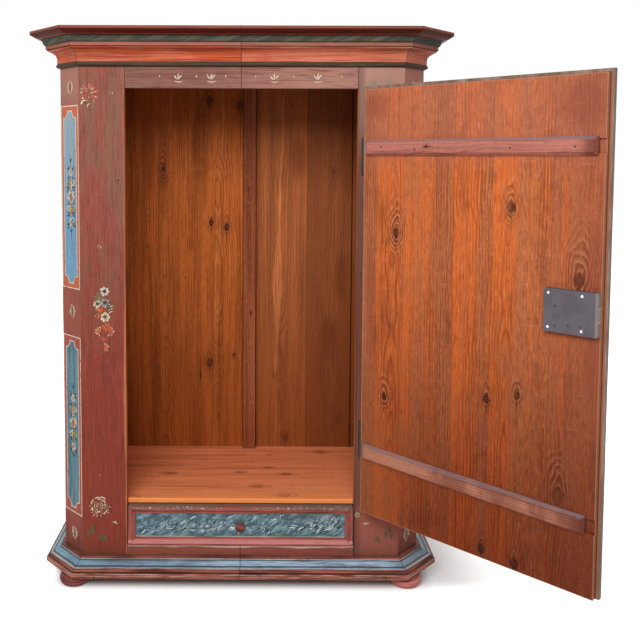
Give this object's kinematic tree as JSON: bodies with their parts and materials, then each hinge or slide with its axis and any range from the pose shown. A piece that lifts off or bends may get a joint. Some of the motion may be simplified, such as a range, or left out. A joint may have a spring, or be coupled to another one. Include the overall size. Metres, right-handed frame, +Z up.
{
  "type": "painted one-door wardrobe",
  "caption": "Free-standing painted softwood wardrobe with canted corners, moulded cornice and plinth, bun feet, a hinged plank door with a box lock, and a drawer in the base.",
  "frame": {"origin": "on the floor, in the middle of the case (half its width and half its depth)", "axes": "+X to the right as one faces the front, +Y to the back, +Z up"},
  "size_m": [1.6463, 1.0878, 1.824],
  "materials": {
    "red_paint": "old brick-red distemper with grey-brown streaks, worn to the wood at the edges",
    "base_red": "rubbed red paint",
    "cornice_paint": "dark red and green paint in bands",
    "orange_paint": "orange-red paint with fine horizontal streaks",
    "green_paint": "dark green paint",
    "plinth_blue": "blue-grey paint between red edges",
    "drawer_blue": "blue-green paint marbled with pale strokes",
    "pine": "aged brown pine",
    "floor_pine": "orange pine",
    "door_pine": "warm aged pine with knots",
    "batten_wood": "red-brown planed wood",
    "iron": "dark forged iron",
    "bright_nail": "polished nail heads"
  },
  "bodies": {
    "case": {"back_boards_left": "pine", "back_boards_right": "pine", "back_post": "pine", "base_strips_left": "base_red", "base_strips_right": "base_red", "bead_left": "green_paint", "bead_right": "green_paint", "bottom_board_left": "pine", "bottom_board_right": "pine", "cant_left": "red_paint", "cant_right": "red_paint", "corner_block_left": "base_red", "corner_block_right": "base_red", "cove_left": "orange_paint", "cove_right": "orange_paint", "crown_left": "cornice_paint", "crown_right": "cornice_paint", "drawer_cheek_left": "pine", "drawer_cheek_right": "pine", "drawer_runners": "pine", "floor_board": "floor_pine", "floor_cleats": "pine", "foot_back_left": "base_red", "foot_back_right": "base_red", "foot_front_left": "base_red", "foot_front_right": "base_red", "frieze_rail_left": "red_paint", "frieze_rail_right": "red_paint", "hinge_pin_lower": "iron", "hinge_pin_upper": "iron", "joining_dowels": "pine", "lower_rail_left": "red_paint", "lower_rail_right": "red_paint", "plinth_slope_left": "plinth_blue", "plinth_slope_right": "plinth_blue", "side_left": "red_paint", "side_right": "red_paint", "stile_left": "red_paint", "stile_peg": "pine", "stile_right": "red_paint", "strike_plate": "iron", "top_board_left": "pine", "top_board_right": "pine"},
    "door": {"door_batten_lower": "batten_wood", "door_batten_upper": "batten_wood", "door_boards": "door_pine", "hinge_socket_lower": "iron", "hinge_socket_upper": "iron", "keyhole_escutcheon": "iron", "lock_case": "iron", "lock_nails": "bright_nail", "lock_spring": "iron"},
    "bolt": {"lock_bolt": "iron"},
    "drawer": {"drawer_front": "drawer_blue", "drawer_moulding": "base_red", "drawer_side_left": "pine", "drawer_side_right": "pine", "drawer_back": "pine", "drawer_bottom": "pine", "drawer_knob": "base_red"}
  },
  "joints": [
    {"name": "door_hinge", "type": "hinge", "parent": "case", "child": "door", "pos_m": [0.393, -0.2676, 0.96], "axis": [0, 0, 1], "range_deg": [-136, 36]},
    {"name": "drawer_slide", "type": "slide", "parent": "case", "child": "drawer", "axis": [0, -1, 0], "range_m": [0, 0.33]},
    {"name": "bolt_slide", "type": "slide", "parent": "door", "child": "bolt", "axis": [0.7193, -0.6947, 0], "range_m": [0, 0.012]}
  ]
}
